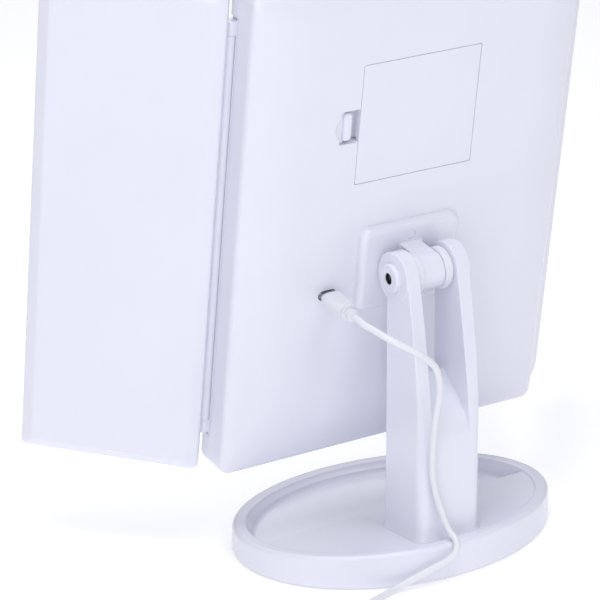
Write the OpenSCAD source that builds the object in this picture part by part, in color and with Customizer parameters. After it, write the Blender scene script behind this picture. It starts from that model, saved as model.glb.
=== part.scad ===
// Trifold vanity mirror on an oval tray foot. A lit centre mirror tilts in a fork on the stand, and
// two side mirrors fold over it. The mirror faces -Y and the stand's origin is under the foot.

/* [Base tray] */
// Length of the oval tray, side to side
base_len = 164; // [140:1:200]
// Depth of the oval tray, front to back
base_dep = 121; // [116:1:140]
// How far the tray's middle lies in front of the origin
base_fore = 2; // [0:0.5:4]
// Height of the tray's rim, level with the origin
rim_h = 14.2; // [13:0.2:18]
// Rise of the rim and the plateau towards the back, for each millimetre
rim_lean = 0.065; // [0:0.005:0.07]
// Width of the rim's flat top
rim_w = 6; // [4:0.5:7]
// Thickness of the sunken floor
floor_t = 3.6; // [2.4:0.2:4]
// Drop from the rim to the rear plateau that carries the column
plateau_drop = 1.4; // [1:0.1:2.4]
// Thickness of the foam pad under the tray
pad_t = 1.2; // [0.8:0.2:1.6]

/* [Column] */
// Width of the column across the fork
col_w = 34.4; // [32:0.2:40]
// Front face of the column, behind the tray's centre
col_front = 17; // [14:0.5:20]
// Depth of the column at its foot
col_dep = 30.6; // [28:0.2:32]
// Width of the gap between the fork's arms
fork_gap = 20.6; // [18:0.2:22]
// Height at which the gap ends at the front
fork_floor_z = 91; // [80:1:96]
// Wall of the hollow column
col_wall = 2.6; // [2:0.2:3.2]
// Flare of the column's foot
foot_flare = 1.2; // [0.6:0.2:2]

/* [Tilt joint] */
// Distance of the tilt axis behind the tray's centre
pivot_y = 23; // [22:0.5:24]
// Height of the tilt axis
pivot_z = 141; // [130:1:155]
// Angle by which the head leans back
tilt = 8; // [0:1:20]
// Radius of the fork's round ends
ear_r = 12; // [11:0.2:12.2]
// Radius of the raised boss on each ear
boss_r = 7; // [5.5:0.5:8]
// How far the boss stands out
boss_h = 2.6; // [1:0.2:3.4]
// Radius of the bracket's knuckle
knuckle_r = 8.8; // [7:0.2:9.4]
// Radius of the friction washers
washer_r = 10; // [9:0.5:11]
// Thickness of a friction washer
washer_t = 2.7; // [1.5:0.1:3.5]
// Radius of the pivot bolt
bolt_r = 2; // [1.5:0.1:2.5]
// Radius of the bolt's head
bolt_head_r = 2.7; // [2.6:0.1:3.4]

/* [Head] */
// Height of the housing
head_h = 242.6; // [230:0.2:260]
// Distance of the housing's lower edge below the tilt axis
head_low = 100.1; // [90:0.1:104]
// Distance from the tilt axis to the housing's back
back_gap = 16.5; // [16.5:0.1:18]
// Thickness of the housing
head_dep = 25; // [25:0.5:28]
// Height of the pillowed back over the side walls
crown = 5.5; // [3:0.5:6]
// Width of the sloping border of the back
border_w = 24; // [20:1:25]
// Depth of the front bezel
bezel_dep = 6.8; // [6.8:0.1:7.4]
// Radius of the housing's corners
corner_r = 5; // [4:0.5:9]
// Wall of the rear shell
shell_wall = 2; // [1.6:0.1:2.2]
// Thickness of the centre mirror's glass
glass_t = 3; // [2:0.2:3]
// Width of the centre mirror's glass
glass_w = 134; // [120:1:150]
// Width of a light strip's diffuser
strip_w = 10; // [8:0.5:12]
// Length of a light strip's diffuser
strip_len = 200; // [160:5:215]

/* [Bracket] */
// Width of the bracket plate
plate_w = 54; // [50:1:60]
// Height of the bracket plate
plate_h = 42.5; // [40:0.5:46]
// Height of the plate's middle below the tilt axis
plate_drop = 1.75; // [0:0.25:3]
// Thickness of the bracket plate
plate_t = 4.1; // [3:0.1:4.1]

/* [Battery door] */
// Width of the battery door
door_w = 63.7; // [63.5:0.1:66]
// Height of the battery door
door_h = 58.9; // [58.5:0.1:62]
// Height of the door's middle over the tilt axis
door_up = 72.5; // [68:0.5:76]
// Thickness of the door
door_t = 1.7; // [1.3:0.1:1.9]
// Height of the latch's notch
notch_h = 16.4; // [15:0.2:20]
// Width of the latch's notch
notch_w = 10; // [9.6:0.2:12]
// Diameter of a battery cell
cell_d = 14.5; // [13.5:0.1:14.5]
// Length of a battery cell over its nub
cell_len = 50.5; // [48:0.5:50.5]

/* [Side mirrors] */
// Angle by which the right side mirror swings forward of flat
right_wing_angle = 42; // [20:1:70]
// Angle by which the left side mirror swings forward of flat
left_wing_angle = 55; // [20:1:70]
// Width of a side mirror
wing_w = 84.2; // [78:0.2:86]
// Thickness of a side mirror's frame
wing_frame_t = 4; // [3.6:0.2:5]
// Thickness of a side mirror's rear cover
wing_cover_t = 3.4; // [2.4:0.2:4]
// Width of the bevelled border of the rear cover
wing_bevel_w = 6; // [4:0.5:9]
// Thickness of the side mirrors' glass
wing_glass_t = 2; // [1.6:0.1:2.2]
// Width of the frame round the side mirrors' glass
wing_rim = 4; // [3.2:0.2:7]
// Radius of the hinge barrel
barrel_r = 2.6; // [2.4:0.1:2.8]
// Radius of a hinge pin
hinge_pin_r = 1; // [0.8:0.1:1.2]
// Length of the end knuckles on the bezel
end_knuckle = 8; // [6:0.5:12]

/* [Cord] */
// Diameter of the power cord
cord_d = 3.2; // [3:0.1:3.4]
// Distance of the power socket from the middle
socket_x = 41.8; // [38:0.2:48]
// Height of the power socket below the tilt axis
socket_drop = 11.5; // [6:0.5:15]
// Number of turns in each layer of the coil
coil_turns = 4; // [3:1:5]

/* [Hidden] */
$fn = 48;

white = "#eceef6";
soft_white = "#dfe1ea";
steel = "#b9bdc4";

// Clearances: pieces that move on each other, loose seats and shafts in bores
run_gap = 0.3;
seat_gap = 0.1;
bore_gap = 0.05;

// Steps of a rounded corner and of an oval
arc_steps = 4;
oval_steps = 64;

// ---- Shared shapes ----

// Outline of a rounded rectangle, counter-clockwise, with radii from the corner at x1, y1 onwards
function outline(x0, x1, y0, y1, r, n = arc_steps) =
    let (cx = [x1 - r[0], x0 + r[1], x0 + r[2], x1 - r[3]],
         cy = [y1 - r[0], y1 - r[1], y0 + r[2], y0 + r[3]])
    [for (k = [0:3], i = [0:n]) let (a = 90 * (k + i / n))
        [cx[k] + r[k] * cos(a), cy[k] + r[k] * sin(a)]];

// Outline of a centred rounded rectangle, drawn in by an inset
function inset_rect(w, h, r, inset, cy = 0) =
    outline(inset - w / 2, w / 2 - inset, cy - h / 2 + inset, cy + h / 2 - inset, [r, r, r, r]);

// Outline of the tray's oval, drawn in by an inset
function oval(inset, n = oval_steps) =
    [for (i = [0:n - 1]) let (a = 360 * i / n)
        [(base_len / 2 - inset) * cos(a), (base_dep / 2 - inset) * sin(a) - base_fore]];

// Outline that rises towards the back with the tray's rim
function leaning(ring) = [for (p = ring) [p[0], p[1], rim_lean * p[1]]];

// Solid through a stack of outlines, each given as [height, outline], level or leaning
module loft(sections) {
    n = len(sections[0][1]);
    m = len(sections);
    points = [for (s = sections) for (p = s[1]) [p[0], p[1], s[0] + (len(p) > 2 ? p[2] : 0)]];
    sides = [for (k = [0:m - 2], i = [0:n - 1]) let (j = (i + 1) % n)
        for (f = [[k * n + i, (k + 1) * n + i, (k + 1) * n + j], [k * n + i, (k + 1) * n + j, k * n + j]]) f];
    bottom = [for (i = [0:n - 1]) i];
    top = [for (i = [n - 1:-1:0]) (m - 1) * n + i];
    polyhedron(points, concat([bottom], sides, [top]));
}

function unit(v) = v / norm(v);
function heading(p, i) = unit(p[min(i + 1, len(p) - 1)] - p[max(i - 1, 0)]);
function square_to(n, t) = unit(n - (n * t) * t);
function side_dirs(p, start) =
    [for (i = 0, n = square_to(start, heading(p, 0)); i < len(p);
          i = i + 1, n = i < len(p) ? square_to(n, heading(p, i)) : n) n];

// Round tube of radius r along the points of a path
module tube(path, r, sides, start = [0, 0, 1]) {
    dirs = side_dirs(path, start);
    points = [for (i = [0:len(path) - 1], k = [0:sides - 1])
        let (n = dirs[i], b = cross(heading(path, i), n), a = 360 * k / sides)
        path[i] + r * (cos(a) * n + sin(a) * b)];
    m = len(path);
    walls = [for (i = [0:m - 2], k = [0:sides - 1]) let (q = (k + 1) % sides)
        for (f = [[i * sides + k, (i + 1) * sides + k, (i + 1) * sides + q],
                  [i * sides + k, (i + 1) * sides + q, i * sides + q]]) f];
    first = [for (k = [0:sides - 1]) k];
    last = [for (k = [sides - 1:-1:0]) (m - 1) * sides + k];
    polyhedron(points, concat([first], walls, [last]));
}

// Smooth curve through hand-picked points, with a number of steps between each two
function between(p, i, u) =
    let (a = p[max(i - 1, 0)], b = p[i], c = p[i + 1], d = p[min(i + 2, len(p) - 1)])
    0.5 * (2 * b + (c - a) * u + (2 * a - 5 * b + 4 * c - d) * u * u + (3 * b - a - 3 * c + d) * u * u * u);
function smooth(p, steps) =
    concat([for (i = [0:len(p) - 2], k = [0:steps - 1]) between(p, i, k / steps)], [p[len(p) - 1]]);

module rod(r, h) { cylinder(r = r, h = h); }

// Pan-head screw with its head's underside at the origin, shaft along +Z
module screw(r, length, head_r, head_h) {
    rod(r, length);
    translate([0, 0, -head_h]) rod(head_r, head_h);
}

// Head's own frame: X across, Y up along the mirror, Z forward of the tilt axis
module in_head() {
    translate([0, pivot_y, pivot_z]) rotate([90 - tilt, 0, 0]) children();
}

// Side mirror's own frame: X outward from its hinge, Y up, Z to the mirror side
module in_wing(side) {
    in_head() flip(side) translate([hinge_x, 0, hinge_f])
        rotate([0, -(side > 0 ? right_wing_angle : left_wing_angle), 0]) children();
}

module flip(side) {
    if (side < 0) mirror([1, 0, 0]) children();
    else children();
}

// Lengths of wall along Z in the head's frame, from one depth to another
module slab(f0, f1) {
    translate([0, 0, f0]) linear_extrude(f1 - f0) children();
}

// ---- Base tray ----

tray_under = 0.6;
floor_z = pad_t + floor_t;
pad_inset = 6;
rim_round = 2.2;
plateau_z = rim_h - plateau_drop;
plateau_front = 1;
seat_z = plateau_z - 0.4;
tray_back = base_dep / 2 - base_fore;
seat_low = seat_z + rim_lean * (col_front - foot_flare);
pocket_top = seat_low - 3.1;
pocket_x = col_w / 2 + 4;
pocket_y = [col_front - 1, col_front + col_dep - 3];
recess_w = col_w - 1.2;
recess_back = col_front - 2.4;
col_screw_r = 1.4;
col_mid = col_front + col_dep / 2;
col_screw_x = col_w / 2 - 6.7;
col_screw_y = col_dep / 2 - 6.5;
col_screws = [for (sx = [-1, 1], sy = [-1, 1]) [sx * col_screw_x, col_mid + sy * col_screw_y]];

module tray_body() {
    difference() {
        loft([
            [tray_under, oval(1.2)], [tray_under + 1.2, oval(0.3)], [rim_h - 3.4, leaning(oval(0))],
            [rim_h - rim_round / 2, leaning(oval(0.25))], [rim_h - 0.35, leaning(oval(0.9))],
            [rim_h, leaning(oval(rim_round))]
        ]);
        loft([
            [floor_z, oval(rim_w + 6)], [floor_z + 0.6, oval(rim_w + 3.6)], [floor_z + 2, oval(rim_w + 2.4)],
            [rim_h - 2, leaning(oval(rim_w + 1.2))], [rim_h - 0.6, leaning(oval(rim_w + 0.3))],
            [rim_h + 1, leaning(oval(rim_w - 0.6))]
        ]);
    }
}

// Rear plateau, with a soft step across the tray and a recess before the column
module plateau() {
    difference() {
        intersection() {
            translate([-base_len / 2, plateau_front, 0]) rotate([90, 0, 90]) linear_extrude(base_len)
                polygon([[-4.4, floor_z - 0.5], [-2.6, floor_z + 0.6], [-1, plateau_z - 1.2],
                         [0, plateau_z - 0.3], [1.2, plateau_z + rim_lean * (plateau_front + 1.2)],
                         [tray_back, plateau_z + rim_lean * (plateau_front + tray_back)],
                         [tray_back, floor_z - 0.5]]);
            linear_extrude(rim_h + rim_lean * tray_back) polygon(oval(rim_w));
        }
        translate([-recess_w / 2, -20, floor_z]) cube([recess_w, recess_back + 20, rim_h]);
    }
}

module base_tray() {
    color(white) difference() {
        union() {
            tray_body();
            plateau();
        }
        translate([0, 0, -1]) linear_extrude(pad_t + 1) polygon(oval(pad_inset - 0.5));
        loft([for (z = [seat_z, seat_z + rim_h])
            [z, leaning(col_ring(foot_flare + seat_gap, col_back, foot_round + foot_flare))]]);
        translate([-pocket_x, pocket_y[0], -1])
            cube([2 * pocket_x, pocket_y[1] - pocket_y[0], pocket_top + 1]);
        for (p = col_screws) translate([p[0], p[1], 0]) rod(col_screw_r + seat_gap, 2 * rim_h);
    }
}

module base_pad() {
    color("#c9ccd6") linear_extrude(pad_t) polygon(oval(pad_inset));
}

// ---- Column ----

foot_round = 7.5;
front_round = 1.6;
col_back = col_front + col_dep;
arm_back = pivot_y + ear_r;
gap_slope_y = col_front + 8.7;
gap_slope_drop = 20.5;
cavity_top = fork_floor_z - gap_slope_drop - 7;
boss_len = 16;
screw_boss_r = 4.2;
washer_x = fork_gap / 2 - washer_t;
ear_proud = 0.3;
ear_face = col_w / 2 + ear_proud;
bolt_seat = ear_face - 3.6;
nut_flats = 7;
nut_t = 3;

// Section of the column at a height: how far it flares, its back edge and its back corners
function col_ring(flare, back, r) =
    outline(-col_w / 2 - flare, col_w / 2 + flare, col_front - flare, back + flare,
            [r, r, front_round + flare, front_round + flare]);

// The arms' back edge draws in evenly from the column's shoulder to the round end
shoulder_z = fork_floor_z - gap_slope_drop - 8;
function arm_edge(u) = col_back - 0.6 - (col_back - 0.6 - arm_back) * pow(u, 1.35);
function arm_z(u) = shoulder_z + (pivot_z - shoulder_z) * u;

module column_body() {
    loft(concat([
        [seat_z, leaning(col_ring(foot_flare, col_back, foot_round + foot_flare))],
        [plateau_z + 1.6, leaning(col_ring(foot_flare * 0.9, col_back, foot_round + foot_flare))],
        [plateau_z + 2.8, leaning(col_ring(foot_flare * 0.35, col_back, foot_round))],
        [plateau_z + 4.5, leaning(col_ring(0, col_back, foot_round))]],
        [for (u = [0:0.2:1])
            [arm_z(u), col_ring(0, arm_edge(u), foot_round - (foot_round - 3.2) * pow(u, 0.7))]]
    ));
}

// Empty space between the arms, with its floor sloping down to the back
module fork_space() {
    translate([-fork_gap / 2, 0, 0]) rotate([90, 0, 90]) linear_extrude(fork_gap)
        polygon([[-60, fork_floor_z], [gap_slope_y, fork_floor_z],
                 [col_back + 0.5, fork_floor_z - gap_slope_drop],
                 [col_back + 40, fork_floor_z - gap_slope_drop - 30],
                 [col_back + 40, pivot_z + 40], [-60, pivot_z + 40]]);
}

module stand_column() {
    color(white) difference() {
        union() {
            difference() {
                union() {
                    column_body();
                    translate([-ear_face, pivot_y, pivot_z]) rotate([0, 90, 0]) rod(ear_r, 2 * ear_face);
                }
                fork_space();
            }
            for (side = [-1, 1]) translate([side * ear_face, pivot_y, pivot_z])
                rotate([0, 90 * side, 0]) rod(boss_r, boss_h);
        }
        difference() {
            translate([-col_w / 2 + col_wall, col_front + col_wall, 0])
                cube([col_w - 2 * col_wall, col_dep - 2 * col_wall, cavity_top]);
            for (p = col_screws) translate([p[0], p[1], 0]) rod(screw_boss_r, seat_low + boss_len);
        }
        for (p = col_screws) translate([p[0], p[1], 0]) rod(col_screw_r + bore_gap, seat_low + boss_len - 3);
        translate([-40, pivot_y, pivot_z]) rotate([0, 90, 0]) rod(bolt_r + bore_gap, 80);
        translate([bolt_seat, pivot_y, pivot_z]) rotate([0, 90, 0]) rod(bolt_head_r + seat_gap, 20);
        translate([-bolt_seat, pivot_y, pivot_z]) rotate([0, -90, 0])
            cylinder(r = (nut_flats + 2 * seat_gap) / sqrt(3), h = 20, $fn = 6);
    }
}

module column_screws() {
    color(steel) for (p = col_screws) translate([p[0], p[1], pocket_top])
        screw(col_screw_r, seat_low - pocket_top + boss_len - 5, 2.6, 1.8);
}

module pivot_bolt() {
    color(steel) translate([bolt_seat, pivot_y, pivot_z]) rotate([0, -90, 0]) difference() {
        screw(bolt_r, 2 * bolt_seat + nut_t, bolt_head_r, 2.4);
        translate([0, 0, -3.4]) for (a = [0, 90]) rotate([0, 0, a])
            translate([-1.6, -0.35, 0]) cube([3.2, 0.7, 2.2]);
    }
}

module pivot_nut() {
    color(steel) translate([-bolt_seat, pivot_y, pivot_z]) rotate([0, -90, 0]) difference() {
        cylinder(r = nut_flats / sqrt(3), h = nut_t, $fn = 6);
        translate([0, 0, -1]) rod(bolt_r + bore_gap, nut_t + 2);
    }
}

module friction_washers() {
    color("#d5d8e2") for (side = [-1, 1]) translate([side * washer_x, pivot_y, pivot_z])
        rotate([0, 90 * side, 0]) difference() {
            union() {
                rod(washer_r, washer_t - 0.9);
                rod(washer_r - 1, washer_t);
            }
            translate([0, 0, -1]) rod(bolt_r + bore_gap, washer_t + 2);
        }
}

// ---- Head: depths forward of the tilt axis ----

strip_clear = 3.5;
strip_edge = 4.5;
bezel_rim = 4;
head_w = glass_w + 2 * (strip_clear + strip_w + strip_edge + bezel_rim);
head_mid = head_h / 2 - head_low;
front_f = back_gap + head_dep;
seam_f = front_f - bezel_dep;
inner_f = back_gap + shell_wall;
glass_front = front_f - 0.3;
glass_back = glass_front - glass_t;
tape_t = 0.4;
shelf_front = glass_back - tape_t;
shelf_t = 2;
shelf_back = shelf_front - shelf_t;

// Hinge of the side mirrors, just outside the housing's front corners
hinge_out = 1.3;
hinge_x = head_w / 2 + hinge_out;
hinge_f = front_f - barrel_r - 0.5;
barrel_reach = 105.5;
notch_depth = 1.6;

function housing(inset, r) = inset_rect(head_w, head_h, r, inset, head_mid);

// Pillowed back, from the flat middle out to the side walls
module shell_outside() {
    loft([
        [back_gap, housing(border_w, corner_r + 11)],
        [back_gap + 0.25, housing(border_w * 0.8, corner_r + 9)],
        [back_gap + crown * 0.2, housing(border_w * 0.57, corner_r + 7)],
        [back_gap + crown * 0.46, housing(border_w * 0.33, corner_r + 4.5)],
        [back_gap + crown * 0.74, housing(border_w * 0.14, corner_r + 2)],
        [back_gap + crown, housing(1.3, corner_r + 0.6)],
        [back_gap + crown + 1.1, housing(0.35, corner_r)],
        [back_gap + crown + 2.6, housing(0, corner_r)],
        [seam_f, housing(0, corner_r)]
    ]);
}

module shell_inside() {
    loft([
        [inner_f, housing(border_w, corner_r + 9)],
        [inner_f + crown * 0.2, housing(border_w * 0.57, corner_r + 6)],
        [inner_f + crown * 0.46, housing(border_w * 0.33, corner_r + 3)],
        [inner_f + crown, housing(shell_wall + 1.3, corner_r - 1)],
        [inner_f + crown + 1.5, housing(shell_wall, corner_r - shell_wall / 2)],
        [seam_f + 1, housing(shell_wall, corner_r - shell_wall / 2)]
    ]);
}

// Battery bay
bay_wall = 1.5;
bay_floor_t = 1.1;
bay_w = door_w + run_gap * 2;
bay_h = door_h + run_gap * 2;
bay_ledge = 1.6;
bay_in_w = bay_w - 2 * bay_ledge;
bay_in_h = bay_h - 2 * bay_ledge;
door_back_f = back_gap + door_t;
cell_pitch = cell_d + 0.2;
cell_f = inner_f + 0.4 + cell_d / 2;
bay_floor_f = cell_f + cell_d / 2 + 0.2;
tab_up = 18;
tab_h = 8;
tab_reach = 2.4;

// Door latch
latch_x = bay_w / 2 + 4.2;
latch_w = 2.6;
latch_h = 13.6;
latch_arm_y = 4.6;
latch_arm = 1.5;
latch_arm_f = inner_f + 0.6;
latch_f = latch_arm_f + latch_arm;
scoop_r = 7;
pit_f = inner_f + 4.6;

// Bracket, board and case screws
plate_screw_y = [12.8, -16.3];
plate_screw_r = 1.2;
plate_head_r = 2;
case_screw_r = 1.3;
case_boss_r = 3.5;
case_screws_y = [head_mid - head_h / 2 + 14.5, head_mid - 12, head_mid + head_h / 2 - 14.5];
case_screws_at = [for (sx = [-1, 1], y = case_screws_y) [sx * (glass_w / 2 - 9), y]];
board_t = 1.6;
board_w = 50;
board_h = 26;
board_f = inner_f + 7.5;
board_x = socket_x - 4;
board_y = -socket_drop - 5;
board_screws_at = [for (sx = [-1, 1]) [board_x + sx * (board_w / 2 - 4), board_y - board_h / 2 + 4]];
board_screw_r = 1;
board_screw_len = 6;
board_head_r = 2;
board_head_h = 1.2;
chip = [7, 6];
jack = [9, 5];
socket_w = 7.6;
socket_h = 2.9;

module bay_box(f0, f1, grow) {
    translate([0, door_up, 0]) slab(f0, f1) square([bay_in_w + 2 * grow, bay_in_h + 2 * grow], center = true);
}

module latch_pit(grow, f1) {
    translate([bay_w / 2 - 0.1, door_up - notch_h / 2 - grow, back_gap - 1])
        cube([notch_w + 2.6 + grow, notch_h + 2 * grow, f1 - back_gap + 1]);
}

module rear_shell() {
    color(white) in_head() difference() {
        union() {
            difference() {
                shell_outside();
                shell_inside();
            }
            bay_box(inner_f - 0.2, bay_floor_f + bay_floor_t, bay_wall);
            intersection() {
                latch_pit(bay_wall, pit_f + 1.2);
                slab(inner_f - 0.2, seam_f) square(400, center = true);
            }
            for (p = case_screws_at) translate([p[0], p[1], inner_f - 0.2])
                rod(case_boss_r, shelf_back - inner_f + 0.2);
            for (y = plate_screw_y) translate([0, y, inner_f - 0.2]) rod(3.2, 8);
            for (p = board_screws_at) translate([p[0], p[1], inner_f - 0.2])
                rod(2.6, board_f - inner_f + 0.2);
        }
        // Bay, door opening and the door's hooks
        bay_box(door_back_f + run_gap, bay_floor_f, 0);
        translate([0, door_up, 0]) slab(back_gap - 1, door_back_f + run_gap)
            square([bay_w, bay_h], center = true);
        for (s = [-1, 1]) translate([-bay_w / 2 - 3.4, door_up + s * tab_up - tab_h / 2 - 0.4, inner_f])
            cube([bay_ledge + 4, tab_h + 0.8, 2.9]);
        // Notch, pit and finger scoop of the latch
        intersection() {
            latch_pit(0, pit_f);
            union() {
                slab(inner_f, pit_f) square(400, center = true);
                translate([bay_w / 2 - 0.1, door_up - notch_h / 2, back_gap - 1])
                    cube([notch_w, notch_h, 10]);
            }
        }
        translate([bay_w / 2 - bay_ledge - 0.5, door_up - notch_h / 2 + 0.6, door_back_f])
            cube([bay_ledge + 1, notch_h - 1.2, pit_f - door_back_f]);
        translate([latch_x + 1.6, door_up, back_gap - 1]) rod(scoop_r, 2.2);
        // Screw holes and the power socket's opening
        for (p = case_screws_at) translate([p[0], p[1], inner_f + 4]) rod(case_screw_r + bore_gap, head_dep);
        for (y = plate_screw_y) translate([0, y, back_gap - 1]) rod(plate_screw_r + bore_gap, 8);
        for (p = board_screws_at) translate([p[0], p[1], inner_f + 1.5]) rod(board_screw_r + bore_gap, 10);
        translate([socket_x, -socket_drop, back_gap - 1])
            linear_extrude(shell_wall + 2) offset(r = 1)
                square([socket_w + 0.4, socket_h + 0.4 - 0.6], center = true);
    }
}

// ---- Front bezel ----

strip_x = glass_w / 2 + strip_clear + strip_w / 2;
strip_gap = 0.05;
end_knuckle_at = [head_mid - barrel_reach, head_mid + barrel_reach - end_knuckle];
touch_r = 7;
touch_y = head_mid - head_h / 2 + 16;

module bezel_notch() {
    translate([head_w / 2 - notch_depth, head_mid - barrel_reach - run_gap, seam_f - 0.01])
        cube([10, 2 * (barrel_reach + run_gap), bezel_dep + 1]);
}

module front_bezel() {
    color(white) in_head() difference() {
        union() {
            difference() {
                loft([
                    [seam_f, housing(0, corner_r)], [front_f - 1.2, housing(0, corner_r)],
                    [front_f - 0.35, housing(0.35, corner_r)], [front_f, housing(1.2, corner_r)]
                ]);
                for (side = [-1, 1]) flip(side) bezel_notch();
            }
            for (side = [-1, 1], y = end_knuckle_at) flip(side) translate([hinge_x, y, hinge_f])
                rotate([-90, 0, 0]) {
                    rod(barrel_r, end_knuckle);
                    translate([-4.5, -barrel_r, 0]) cube([4.5, 2 * barrel_r, end_knuckle]);
                }
        }
        // Pocket of the glass and the hollow back
        slab(shelf_front, front_f + 1) translate([0, head_mid])
            square([glass_w + 2 * seat_gap, head_h - 4 * bezel_rim + 2 * seat_gap], center = true);
        slab(seam_f - 1, shelf_back) translate([0, head_mid])
            square([head_w - 2 * bezel_rim, head_h - 2 * bezel_rim], center = true);
        for (side = [-1, 1]) slab(shelf_back - 1, front_f + 1) translate([side * strip_x, head_mid])
            square([strip_w, strip_len], center = true);
        for (p = case_screws_at) translate([p[0], p[1], shelf_back - 1]) {
            rod(case_screw_r + bore_gap, 10);
            translate([0, 0, 1 + shelf_t - 1.3]) rod(2.6 + seat_gap, 10);
        }
        translate([0, touch_y, shelf_back - 1]) rod(touch_r + 0.3, shelf_t + 2);
        for (side = [-1, 1], s = [-1, 1]) flip(side)
            translate([hinge_x, head_mid + s * (barrel_reach - end_knuckle - 1), hinge_f])
                rotate([-90 * s, 0, 0]) rod(hinge_pin_r + bore_gap, end_knuckle);
    }
}

module centre_mirror() {
    color("#c8d4dc") in_head() slab(glass_back, glass_front) translate([0, head_mid])
        square([glass_w, head_h - 4 * bezel_rim], center = true);
}

module mirror_tape() {
    color("#e8e6da") in_head() slab(shelf_front, glass_back) difference() {
        translate([0, head_mid]) square([glass_w - 6, head_h - 4 * bezel_rim - 6], center = true);
        translate([0, touch_y]) circle(touch_r + 0.5);
    }
}

module case_screws() {
    color(steel) in_head() for (p = case_screws_at) translate([p[0], p[1], shelf_front - 1.3])
        rotate([180, 0, 0]) screw(case_screw_r, 12, 2.6, 1.1);
}

module diffuser(side) {
    color("#f7f4ea") in_head() slab(shelf_back + 1.2, front_f - 0.2) translate([side * strip_x, head_mid])
        square([strip_w - 2 * strip_gap, strip_len - 2 * strip_gap], center = true);
}

led_pitch = 18;
led_board_t = 0.9;

module led_strip(side) {
    color("#f2f3f5") in_head() translate([side * strip_x, head_mid, 0]) {
        slab(shelf_back - led_board_t, shelf_back) square([strip_w + 2, strip_len + 4], center = true);
        for (i = [-5:5]) translate([0, i * led_pitch, shelf_back - 0.05])
            linear_extrude(1) square([2.8, 3.5], center = true);
    }
}

module touch_sensor() {
    color("#c98b4e") in_head() translate([0, touch_y, glass_back - 1.2]) rod(touch_r, 1.2);
}

// ---- Electronics ----

module control_board() {
    color("#2f7d4f") in_head() difference() {
        union() {
            slab(board_f, board_f + board_t) translate([board_x, board_y])
                square([board_w, board_h], center = true);
            slab(board_f + board_t - 0.05, board_f + board_t + 1.4)
                translate([board_x - board_w / 4, board_y + board_h / 13]) square(chip, center = true);
            slab(board_f + board_t - 0.05, board_f + board_t + 2)
                translate([board_x + board_w / 4, board_y - board_h / 13]) square(jack, center = true);
        }
        for (p = board_screws_at) translate([p[0], p[1], board_f - 1])
            rod(board_screw_r + bore_gap, board_t + 2);
    }
}

module board_screws() {
    color(steel) in_head() for (p = board_screws_at) translate([p[0], p[1], board_f + board_t])
        rotate([180, 0, 0]) screw(board_screw_r, board_screw_len, board_head_r, board_head_h);
}

module usb_socket() {
    color(steel) in_head() difference() {
        slab(back_gap + 0.6, board_f) translate([socket_x, -socket_drop])
            square([socket_w, socket_h], center = true);
        slab(back_gap, board_f - 0.8) translate([socket_x, -socket_drop])
            square([tip_w + 2 * seat_gap, tip_h + 2 * seat_gap], center = true);
    }
}

// ---- Bracket ----

knuckle_w = 2 * (washer_x - run_gap);
plate_front = back_gap - plate_t;

module mount_plate() {
    color(white) in_head() difference() {
        union() {
            translate([0, 0, plate_front]) loft([
                [0, inset_rect(plate_w, plate_h, 3, 3, -plate_drop)],
                [0.25, inset_rect(plate_w, plate_h, 3.6, 1.9, -plate_drop)],
                [0.9, inset_rect(plate_w, plate_h, 4.2, 0.9, -plate_drop)],
                [2, inset_rect(plate_w, plate_h, 4.6, 0.25, -plate_drop)],
                [plate_t, inset_rect(plate_w, plate_h, 4.8, 0, -plate_drop)]
            ]);
            translate([-knuckle_w / 2, 0, 0]) rotate([90, 0, 90]) linear_extrude(knuckle_w)
                polygon([[-knuckle_r - 1, plate_front + 0.2], [knuckle_r + 1, plate_front + 0.2],
                         [knuckle_r - 0.4, plate_front - 2.6], [knuckle_r * 0.8, knuckle_r * 0.6],
                         [-knuckle_r * 0.8, knuckle_r * 0.6], [-knuckle_r + 0.4, plate_front - 2.6]]);
            translate([-knuckle_w / 2, 0, 0]) rotate([0, 90, 0]) rod(knuckle_r, knuckle_w);
        }
        translate([-knuckle_w, 0, 0]) rotate([0, 90, 0]) rod(bolt_r + bore_gap, 2 * knuckle_w);
        for (y = plate_screw_y) translate([0, y, plate_front - 1]) {
            rod(plate_screw_r + seat_gap, plate_t + 2);
            rod(plate_head_r + seat_gap, 2.6);
        }
    }
}

module plate_screws() {
    color(steel) in_head() for (y = plate_screw_y) translate([0, y, plate_front + 1.6])
        screw(plate_screw_r, plate_t + 5, plate_head_r, 1.3);
}

// ---- Batteries ----

bay_low = door_up - bay_in_h / 2;
bay_high = door_up + bay_in_h / 2;
contact_t = 0.4;
contact_w = 11;
contact_h = 9;
nub_len = 1;
nub_r = 2.6;

// Cell k stands beside the next one, turned end for end
module cell(k) {
    flip_y = k % 2 == 0 ? 1 : -1;
    color(k % 2 == 0 ? "#3d4654" : "#49525f") in_head()
        translate([(k - 1.5) * cell_pitch, door_up, cell_f]) rotate([-90 * flip_y, 0, 0])
        translate([0, 0, bay_in_h / 2 - contact_t - cell_len]) {
            rod(cell_d / 2, cell_len - nub_len);
            rod(nub_r, cell_len);
        }
}

spring_h = bay_in_h - 2 * contact_t - cell_len;
spring_turns = 3;
spring_wire = 0.4;
spring_wide = 4.6;
spring_narrow = 2.6;

function spring_path(r0, r1, h) = [for (a = [0:30:360 * spring_turns]) let (u = a / (360 * spring_turns))
    [(r0 + (r1 - r0) * u) * cos(a), (r0 + (r1 - r0) * u) * sin(a), spring_wire + (h - 2 * spring_wire) * u]];

module battery_springs() {
    color(steel) in_head() for (k = [0:3]) let (flip_y = k % 2 == 0 ? 1 : -1)
        translate([(k - 1.5) * cell_pitch, door_up, cell_f]) rotate([-90 * flip_y, 0, 0])
        translate([0, 0, contact_t - bay_in_h / 2])
            tube(spring_path(spring_wide, spring_narrow, spring_h), spring_wire, 5, [1, 0, 0]);
}

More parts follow.
